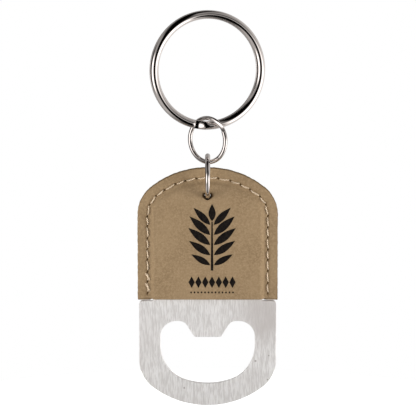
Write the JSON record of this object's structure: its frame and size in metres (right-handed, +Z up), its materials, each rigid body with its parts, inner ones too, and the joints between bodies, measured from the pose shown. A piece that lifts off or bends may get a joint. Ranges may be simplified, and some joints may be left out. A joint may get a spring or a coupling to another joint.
{
  "type": "keychain bottle opener",
  "caption": "Flat steel bottle opener with a domed, stitched leatherette sleeve, hanging by a jump ring and a small split ring from a large split key ring.",
  "frame": {"origin": "top of the key ring's inside, the point it hangs from", "axes": "+X to the right across the face, +Z up along the length as it hangs, front face towards -Y"},
  "size_m": [0.0382, 0.0124, 0.108],
  "materials": {
    "brushed_plate": "stainless steel brushed along its length",
    "leatherette": "matt tan leatherette with a fine mottled grain and dark cut edges",
    "thread": "cream twisted thread",
    "nickel": "bright nickel plate"
  },
  "bodies": {
    "key_ring": {"key_ring": "nickel"},
    "link_ring": {"link_ring": "nickel"},
    "jump_ring": {"jump_ring": "nickel"},
    "opener": {"opener_plate": "brushed_plate", "front_panel": "leatherette", "back_panel": "leatherette", "front_thread": "thread", "back_thread": "thread"}
  },
  "joints": [
    {"name": "key_ring_turn", "type": "hinge", "parent": "key_ring", "child": "link_ring", "pos_m": [0, 0, -0.0138], "axis": [0.2756, -0.9613, 0], "continuous": true},
    {"name": "jump_ring_swing", "type": "hinge", "parent": "link_ring", "child": "jump_ring", "pos_m": [0, 0, -0.03273], "axis": [-0.6018, -0.7986, 0], "range_deg": [-85, 85]},
    {"name": "opener_fold", "type": "hinge", "parent": "jump_ring", "child": "opener", "pos_m": [0, 0, -0.04258], "axis": [1, 0, 0], "range_deg": [-110, 110]}
  ]
}
